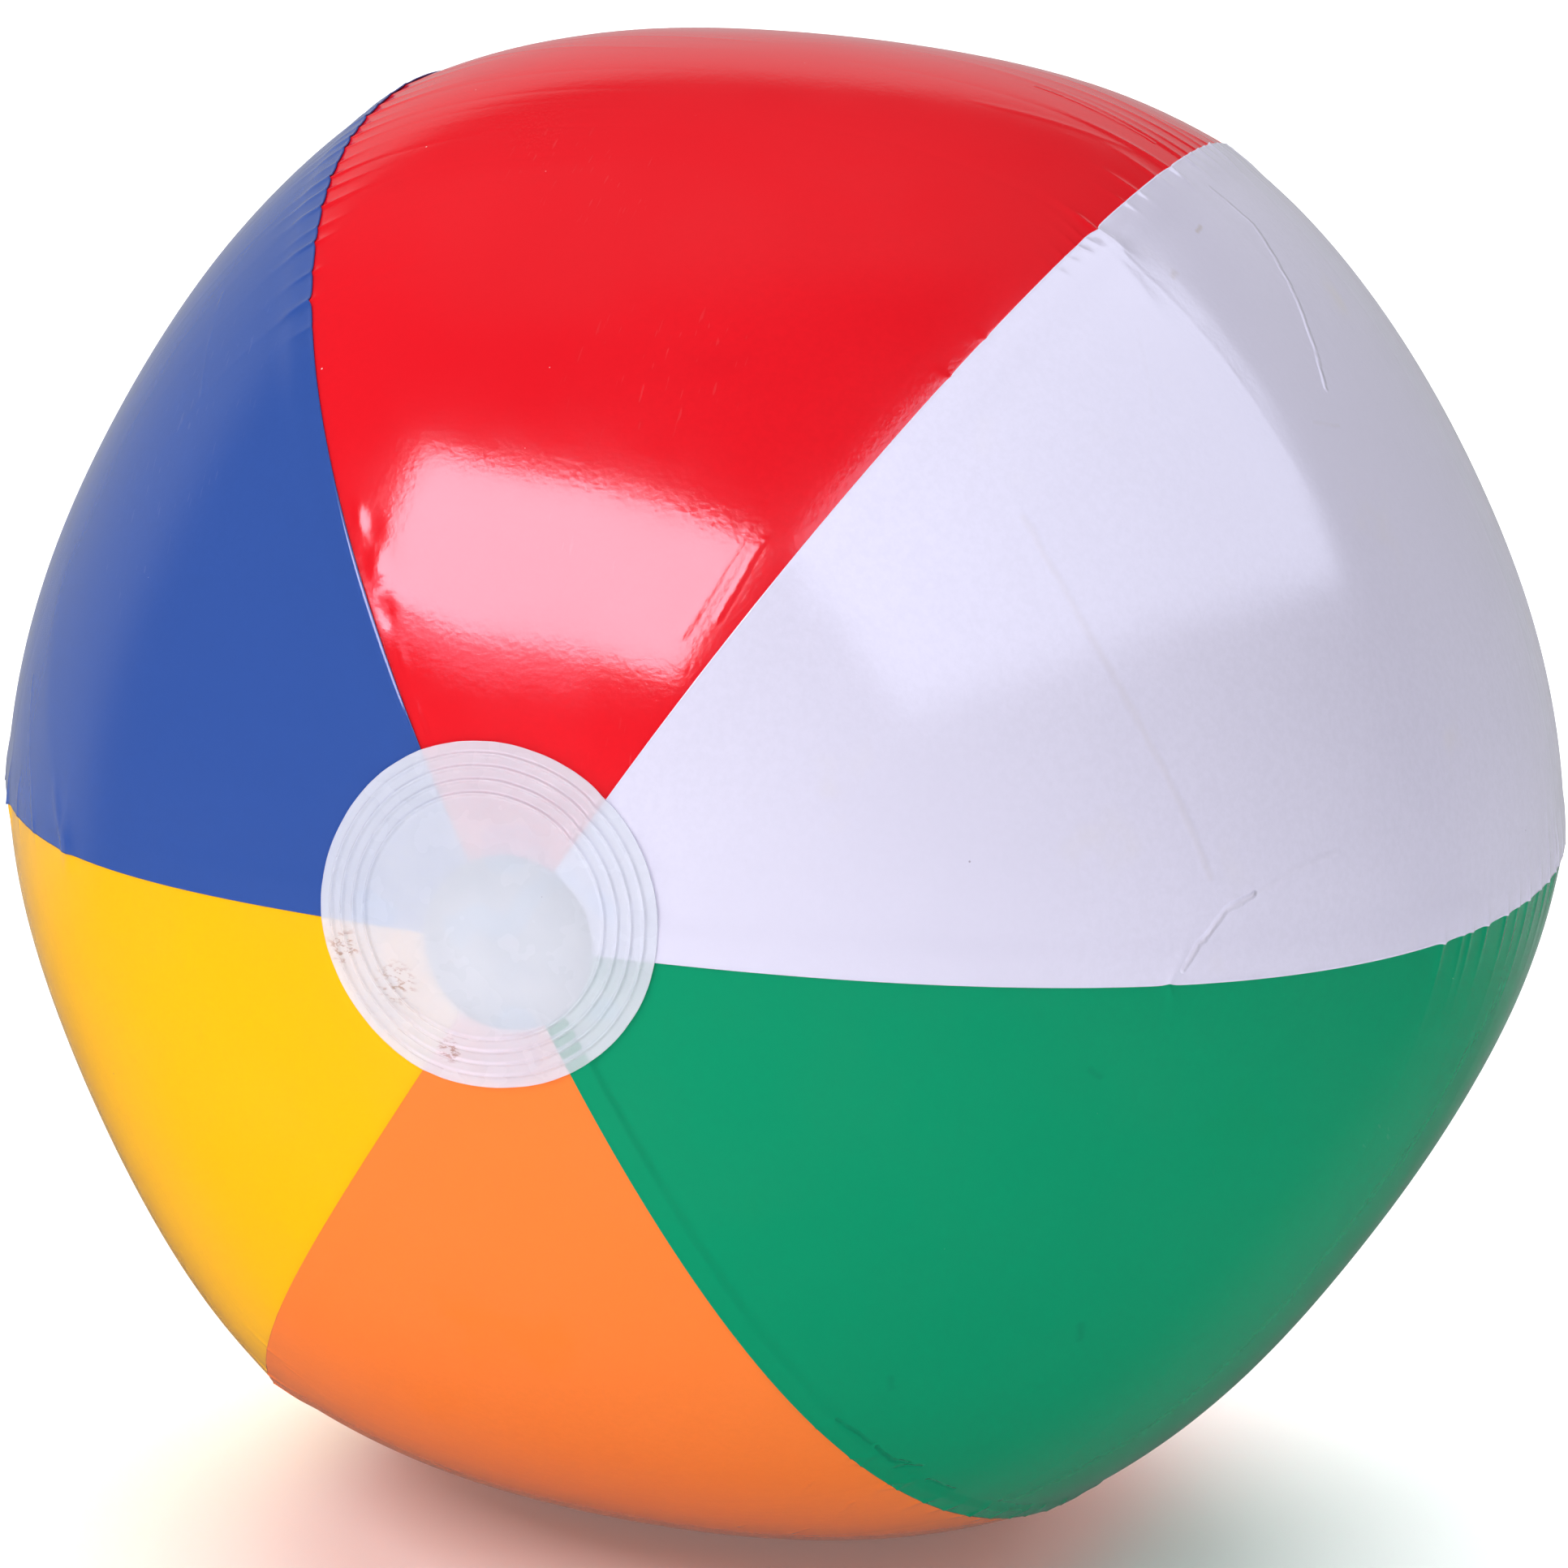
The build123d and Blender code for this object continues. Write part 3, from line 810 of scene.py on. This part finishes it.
class Nodes:
    """Short calls for building the nodes of a material or of the world."""

    def __init__(self, owner, coordinates):
        owner.use_nodes = True
        self.tree = owner.node_tree
        self.place = self.tree.nodes.new("ShaderNodeTexCoord").outputs[coordinates]

    def link(self, source, target):
        self.tree.links.new(source, target)

    def put(self, value, socket):
        if isinstance(value, bpy.types.NodeSocket):
            self.link(value, socket)
        else:
            socket.default_value = value

    def noise(self, scale, detail=2.0, rough=0.5, place=None, out="Fac"):
        node = self.tree.nodes.new("ShaderNodeTexNoise")
        node.inputs["Scale"].default_value = scale
        node.inputs["Detail"].default_value = detail
        node.inputs["Roughness"].default_value = rough
        self.link(place or self.place, node.inputs["Vector"])
        return node.outputs[out]

    def cells(self, scale):
        node = self.tree.nodes.new("ShaderNodeTexVoronoi")
        node.inputs["Scale"].default_value = scale
        self.link(self.place, node.inputs["Vector"])
        return node.outputs["Distance"], node.outputs["Color"]

    def moved(self, rotate=(0, 0, 0), stretch=(1, 1, 1)):
        node = self.tree.nodes.new("ShaderNodeMapping")
        node.inputs["Rotation"].default_value = rotate
        node.inputs["Scale"].default_value = stretch
        self.link(self.place, node.inputs["Vector"])
        return node.outputs["Vector"]

    def fit(self, value, low, high, to_low=0.0, to_high=1.0):
        node = self.tree.nodes.new("ShaderNodeMapRange")
        node.interpolation_type = "SMOOTHSTEP"
        for socket, number in zip(("From Min", "From Max", "To Min", "To Max"), (low, high, to_low, to_high)):
            node.inputs[socket].default_value = number
        self.link(value, node.inputs["Value"])
        return node.outputs["Result"]

    def vector(self, kind, a, b, c=None):
        node = self.tree.nodes.new("ShaderNodeVectorMath")
        node.operation = kind
        self.put(a, node.inputs[0])
        self.put(b, node.inputs["Scale"] if kind == "SCALE" else node.inputs[1])
        if c is not None:
            self.put(c, node.inputs[2])
        return node.outputs["Value"] if kind in ("DOT_PRODUCT", "DISTANCE") else node.outputs["Vector"]

    def math(self, kind, a, b):
        node = self.tree.nodes.new("ShaderNodeMath")
        node.operation = kind
        self.put(a, node.inputs[0])
        self.put(b, node.inputs[1])
        return node.outputs[0]

    def mix(self, share, a, b):
        node = self.tree.nodes.new("ShaderNodeMix")
        node.data_type = "RGBA"
        self.put(share, node.inputs[0])
        self.put(a, node.inputs[6])
        self.put(b, node.inputs[7])
        return node.outputs[2]

    def bump(self, height, distance, under=None):
        node = self.tree.nodes.new("ShaderNodeBump")
        node.inputs["Distance"].default_value = distance
        self.link(height, node.inputs["Height"])
        if under is not None:
            self.link(under, node.inputs["Normal"])
        return node.outputs["Normal"]


class MaterialNodes(Nodes):
    """The nodes of a new material, whose finish its shader holds."""

    def __init__(self, name):
        self.material = bpy.data.materials.new(name)
        super().__init__(self.material, "Object")
        self.shader = self.tree.nodes["Principled BSDF"]


def rgba(colour, share=1.0):
    return tuple(channel * share for channel in colour) + (1.0,)


def specks(n, scale, size, share):
    """Dots in some of a set of cells: 1 inside a dot and 0 outside."""
    near, pick = n.cells(scale)
    dot = n.fit(near, size, size * 0.5)
    split = n.tree.nodes.new("ShaderNodeSeparateColor")
    n.link(pick, split.inputs[0])
    chosen = n.fit(split.outputs[0], 1 - share, 1 - share + 0.02)
    return n.math("MULTIPLY", dot, chosen)


def scratches(n, rotate, low=0.70):
    """Short fine scuffs in a few patches, all roughly one way."""
    fine = n.noise(150.0, 1.0, 0.4, n.moved(rotate, (11.0, 1.4, 1.4)))
    patch = n.noise(17.0, 1.0, 0.4)
    line = n.fit(fine, low, low + 0.05)
    return n.math("MULTIPLY", line, n.fit(patch, 0.62, 0.70))


def near_place(n, place, size):
    """1 at a place on the object, falling to 0 at a distance."""
    return n.fit(n.vector("DISTANCE", n.place, place), size, size * 0.3)


def point_on(gore, polar, across):
    """A place on a gore's outer surface."""
    at = film_point(gore, np.array([[radians(polar)]]), np.array([[float(across)]]), 0)
    return Vector(at[0, 0])


def near_line(n, gore, path, width):
    """1 along a path of (polar, across) places on a gore, falling to 0 at a distance."""
    stray = n.noise(160.0, 3.0, 0.6, out="Color")
    wander = n.vector("MULTIPLY_ADD", stray, (WANDER,) * 3, (-WANDER / 2,) * 3)
    moved = n.vector("ADD", n.place, wander)
    best = 0.0
    for start, end in zip(path, path[1:]):
        a, b = point_on(gore, *start), point_on(gore, *end)
        run = b - a
        gone = n.vector("SUBTRACT", moved, a)
        share = n.vector("DOT_PRODUCT", gone, run / run.length_squared)
        held = n.math("MINIMUM", n.math("MAXIMUM", share, 0.0), 1.0)
        off = n.vector("DISTANCE", gone, n.vector("SCALE", run, held))
        best = n.math("MAXIMUM", best, n.fit(off, width, 0.0))
    return best


def film_material(gore, name, colour, dust, dust_share, stain):
    """Glossy pigmented vinyl: cloudy colour, stains, specks, scuffs, painted shade along its fine folds and a
    fine pebbled skin.
    """
    n = MaterialNodes(name)
    cloud = n.noise(11.0, 2.0, 0.45)
    shade = n.mix(n.fit(cloud, 0.3, 0.7), rgba(colour, 0.97), rgba(colour, 1.02))
    grain = n.noise(700.0, 2.0, 0.7)
    shade = n.mix(n.fit(grain, 0.25, 0.75), rgba(colour, 0.975), shade)
    stain_colour, stain_most = stain
    patches = n.math("MULTIPLY", n.fit(n.noise(28.0, 3.0, 0.55), 0.60, 0.74), stain_most)
    shade = n.mix(patches, shade, rgba(stain_colour))
    dots = n.math("MULTIPLY", specks(n, 80.0, 0.020, 0.36), dust_share)
    shade = n.mix(dots, shade, rgba(dust))
    fine_dots = n.math("MULTIPLY", specks(n, 190.0, 0.024, 0.14), dust_share * 0.6)
    shade = n.mix(fine_dots, shade, rgba(dust))
    marks = n.math("ADD", scratches(n, (0.3, 0.5, 1.1)), scratches(n, (1.2, 0.2, 0.4), 0.72))
    shade = n.mix(n.math("MULTIPLY", marks, 0.02), shade, rgba(dust))
    rough = n.fit(n.noise(45.0, 3.0, 0.6), 0.3, 0.7, 0.115, 0.15)
    rough = n.math("ADD", rough, n.math("MULTIPLY", marks, 0.03))
    n.link(rough, n.shader.inputs["Roughness"])
    skin = n.bump(n.noise(950.0, 2.0, 0.55), 0.018 * MM)
    wave = n.bump(n.noise(240.0, 2.0, 0.5), 0.022 * MM, skin)
    for path, width, height, scuff_and_fold_shade_share in FINE_FOLDS[GORES[gore]]:
        mark = near_line(n, gore, path, width * MM)
        wave = n.bump(mark, height * MM, wave)
        # Colour laid along the fold: painted crease shade where the mark has a bump, a scuff where it has
        # none; on blue it lightens the film instead of darkening it.
        shade = n.mix(n.math("MULTIPLY", mark, scuff_and_fold_shade_share), shade, rgba(SCUFF_AND_FOLD_SHADE[GORES[gore]]))
    n.link(shade, n.shader.inputs["Base Color"])
    n.link(wave, n.shader.inputs["Normal"])
    n.shader.inputs["IOR"].default_value = VINYL_IOR
    n.shader.inputs["Specular IOR Level"].default_value = FILM_GLOSS
    return n.material


def disc_material():
    """Milky vinyl that lets some of the gores show through, with grime where it has been handled."""
    n = MaterialNodes("disc_milky")
    cloud = n.noise(55.0, 3.0, 0.55)
    shade = n.mix(n.fit(cloud, 0.35, 0.7), rgba((0.81, 0.84, 0.93)), rgba((0.85, 0.87, 0.95)))
    blue_patch = n.fit(n.noise(70.0, 1.0, 0.4), 0.60, 0.66)
    shade = n.mix(n.math("MULTIPLY", blue_patch, 0.3), shade, rgba((0.76, 0.85, 1.0)))
    grime = n.fit(n.noise(520.0, 3.0, 0.65, n.moved((0.2, 0.9, 0.3), (1.0, 0.6, 2.4))), 0.50, 0.64)
    for place, size, strength in GRIME:
        spot = n.math("MULTIPLY", n.math("MULTIPLY", grime, near_place(n, place, size)), strength)
        shade = n.mix(spot, shade, rgba(GRIME_COLOUR))
    dots = specks(n, 330.0, 0.05, 0.05)
    shade = n.mix(n.math("MULTIPLY", dots, 0.5), shade, rgba(SPECK_COLOUR))
    n.link(shade, n.shader.inputs["Base Color"])
    n.link(n.fit(n.noise(150.0, 2.0), 0.3, 0.7, 0.20, 0.30), n.shader.inputs["Roughness"])
    middle = n.math("MULTIPLY", near_place(n, (0, -RADIUS, 0), 0.019), 0.07)
    n.link(n.math("ADD", n.fit(cloud, 0.3, 0.7, 0.455, 0.47), middle), n.shader.inputs["Alpha"])
    n.link(n.bump(n.noise(900.0, 2.0, 0.6), 0.018 * MM), n.shader.inputs["Normal"])
    n.shader.inputs["IOR"].default_value = VINYL_IOR
    n.shader.inputs["Specular IOR Level"].default_value = FILM_GLOSS
    return n.material


def valve_material():
    """Soft clear-white moulded vinyl."""
    n = MaterialNodes("valve_vinyl")
    cloud = n.noise(150.0, 2.0, 0.5)
    shade = n.mix(n.fit(cloud, 0.3, 0.7), rgba((0.68, 0.70, 0.76)), rgba((0.76, 0.78, 0.83)))
    n.link(shade, n.shader.inputs["Base Color"])
    n.link(n.fit(cloud, 0.3, 0.7, 0.24, 0.36), n.shader.inputs["Roughness"])
    n.link(n.bump(n.noise(900.0, 2.0, 0.6), 0.02 * MM), n.shader.inputs["Normal"])
    n.shader.inputs["Subsurface Weight"].default_value = 0.25
    n.shader.inputs["Subsurface Radius"].default_value = (0.002, 0.002, 0.002)
    n.shader.inputs["Subsurface Scale"].default_value = 1.0
    n.shader.inputs["IOR"].default_value = VINYL_IOR
    return n.material


def floor_material():
    """Plain pale matt floor."""
    n = MaterialNodes("floor_pale")
    cloud = n.noise(3.0, 2.0, 0.5)
    shade = n.mix(cloud, rgba((0.83, 0.83, 0.83)), rgba((0.86, 0.86, 0.86)))
    n.link(shade, n.shader.inputs["Base Color"])
    n.shader.inputs["Roughness"].default_value = 0.7
    return n.material


# ---------------------------------------------------------------- studio


WHITE = (1.0, 1.0, 1.0)
SKY_COLOUR = (0.97, 0.98, 1.0)
SKY = (0.07, 0.46)  # strength of the surroundings at the front and behind the ball
SKY_BEHIND = (-0.25, 0.97, 0)  # the direction that counts as behind
SKY_BEHIND_FROM = (0.25, 0.6)  # shares of that direction between which they brighten
SKY_TOP = (0.62, 0.47)  # heights where they have faded upwards, and where they begin to
SKY_FOOT = (-0.42, -0.10)  # heights where they have faded downwards, and where they begin to
SKY_UNDER = 0.25  # strength left below

FLOOR_HALF = 40.0


def aim(obj, place, target=(0, 0, 0)):
    """Puts a lamp at a place, with its front towards a target."""
    obj.location = place
    obj.rotation_euler = (Vector(target) - Vector(place)).to_track_quat("-Z", "Y").to_euler()


def toward(azimuth, elevation, distance):
    """A place seen from the ball at an angle. Azimuth 0 is in front of the plain disc."""
    a, e = radians(azimuth), radians(elevation)
    return Vector((sin(a) * cos(e), -cos(a) * cos(e), sin(e))) * distance


def softbox(name, azimuth, elevation, spread, power, colour=WHITE, distance=5.0):
    """A soft lamp seen from the ball at an angle, as wide and as high as spread says in degrees."""
    lamp = bpy.data.lights.new(name, "AREA")
    lamp.shape = "RECTANGLE"
    lamp.size, lamp.size_y = [2 * distance * tan(radians(s / 2)) for s in spread]
    lamp.energy = power * lamp.size * lamp.size_y * pi
    lamp.color = colour
    obj = bpy.data.objects.new(name, lamp)
    aim(obj, toward(azimuth, elevation, distance))
    bpy.context.scene.collection.objects.link(obj)
    return obj


def make_world():
    """Even pale surroundings, brighter behind the ball and fading upwards and downwards."""
    world = bpy.data.worlds.new("studio")
    n = Nodes(world, "Generated")
    height = n.tree.nodes.new("ShaderNodeSeparateXYZ")
    n.link(n.place, height.inputs[0])
    behind = n.fit(n.vector("DOT_PRODUCT", n.place, SKY_BEHIND), *SKY_BEHIND_FROM)
    low = n.fit(height.outputs["Z"], *SKY_TOP)
    not_under = n.fit(height.outputs["Z"], *SKY_FOOT, SKY_UNDER, 1.0)
    share = n.math("MULTIPLY", n.math("MULTIPLY", behind, low), not_under)
    back = n.tree.nodes["Background"]
    n.link(n.fit(share, 0.0, 1.0, *SKY), back.inputs["Strength"])
    back.inputs["Color"].default_value = rgba(SKY_COLOUR)
    bpy.context.scene.world = world


def make_floor():
    """A wide plain floor, which glossy reflections leave out."""
    sides = ((-1, -1), (1, -1), (1, 1), (-1, 1))
    corners = [(x * FLOOR_HALF, y * FLOOR_HALF, FLOOR) for x, y in sides]
    floor = mesh_piece("studio_floor", corners, [(0, 1, 2, 3)], smooth=False)
    floor.data.materials.append(floor_material())
    floor.visible_glossy = False
    return floor


KEY_COLOUR = (1.0, 0.98, 1.02)
SIDE_COLOUR = (0.97, 0.97, 1.0)
GLOSS_COLOUR = (0.95, 0.82, 1.17)
SIDE_GLOSS_COLOUR = (0.95, 0.97, 1.25)
BACKDROP_WASH_FROM, BACKDROP_WASH_ON = (0.3, 3.4, 2.8), (0.3, 3.5, FLOOR)


def make_lights(floor):
    """Main lamps, lamps seen in reflections only, lamps seen in no reflection, and lamps for the floor alone.

    Lamps in one plane hide each other from reflections, so those that overlap hang at different distances.
    """
    softbox("key", -24, 41, (38, 23), 6.6, KEY_COLOUR)
    key_gloss = softbox("key_gloss", -24, 41, (37, 23), 8.8, GLOSS_COLOUR, 4.8)
    key_low = softbox("key_low", -33, 28, (25, 7), 2.5, GLOSS_COLOUR, 4.6)
    softbox("side", 88, 49, (56, 40), 0.2, SIDE_COLOUR)
    side_gloss = softbox("side_gloss", 80, 50, (80, 44), 3.9, SIDE_GLOSS_COLOUR, 4.8)
    for lamp in (key_gloss, key_low, side_gloss):
        lamp.visible_diffuse = False
    overhead = softbox("overhead", -150, 62, (56, 44), 3.4)
    fill = softbox("fill", -10, 4, (70, 24), 1.75)
    for lamp in (overhead, fill):
        lamp.visible_glossy = False
    backdrop_wash = softbox("backdrop_wash", 180, 40, (70, 50), 1.6)
    aim(backdrop_wash, BACKDROP_WASH_FROM, BACKDROP_WASH_ON)
    washed = bpy.data.collections.new("washed")
    washed.objects.link(floor)
    for lamp in (backdrop_wash, softbox("floor_wash", 0, 89, (70, 70), 1.5)):
        lamp.light_linking.receiver_collection = washed
        lamp.light_linking.blocker_collection = washed


CAMERA_AZIMUTH, CAMERA_ELEVATION, CAMERA_ROLL = 17.11, 12.42, 3.46
CAMERA_DISTANCE = 6.806 * RADIUS
CAMERA_SHIFT = (0.0018, -0.0053)
BALL_SHARE = 0.4944  # the ball's radius at its centre's distance, over the picture's width
SENSOR = 36.0


def make_camera():
    """A camera in front of the plain disc, a little above it and rolled a little."""
    data = bpy.data.cameras.new("camera")
    data.sensor_width = SENSOR
    data.lens = SENSOR * BALL_SHARE * CAMERA_DISTANCE / RADIUS
    data.shift_x, data.shift_y = CAMERA_SHIFT
    data.clip_start, data.clip_end = 0.05, 100.0
    camera = bpy.data.objects.new("camera", data)
    back = toward(CAMERA_AZIMUTH, CAMERA_ELEVATION, 1.0)
    right = Vector((cos(radians(CAMERA_AZIMUTH)), sin(radians(CAMERA_AZIMUTH)), 0))
    up = back.cross(right)
    roll = radians(CAMERA_ROLL)
    camera_right = cos(roll) * right + sin(roll) * up
    camera_up = -sin(roll) * right + cos(roll) * up
    turn = Matrix((camera_right, camera_up, back)).transposed().to_4x4()
    camera.matrix_world = Matrix.Translation(back * CAMERA_DISTANCE) @ turn
    bpy.context.scene.collection.objects.link(camera)
    bpy.context.scene.camera = camera


# ---------------------------------------------------------------- build


make_camera()
make_world()
make_lights(make_floor())
bpy.context.scene.view_settings.view_transform = "Standard"

for number, colour in enumerate(GORES):
    look = film_material(number, f"vinyl_{colour}", *FILM_COLOURS[colour])
    make_gore(number).data.materials.append(look)

shift_x, shift_z = FRONT_DISC_SHIFT
front = (shift_x, -sqrt(RADIUS**2 - shift_x**2 - shift_z**2), shift_z)
rear = (0, 1, 0)
milky = disc_material()
make_disc("disc_front", "front_disc", front, 0.0, DISC_OVAL, FRONT_FOLDS, 3).data.materials.append(milky)
make_disc("disc_rear", "rear_disc", rear, VALVE_HOLE, 0.0, REAR_FOLDS, 11).data.materials.append(milky)

moulded = valve_material()
make_skirt().data.materials.append(moulded)
for node in ("valve_flange", "valve_stem", "strap_ring", "stopper_plug", "plug_strap", "check_flap"):
    mesh = frame["nodes"][node].data
    mesh.materials.clear()
    mesh.materials.append(moulded)
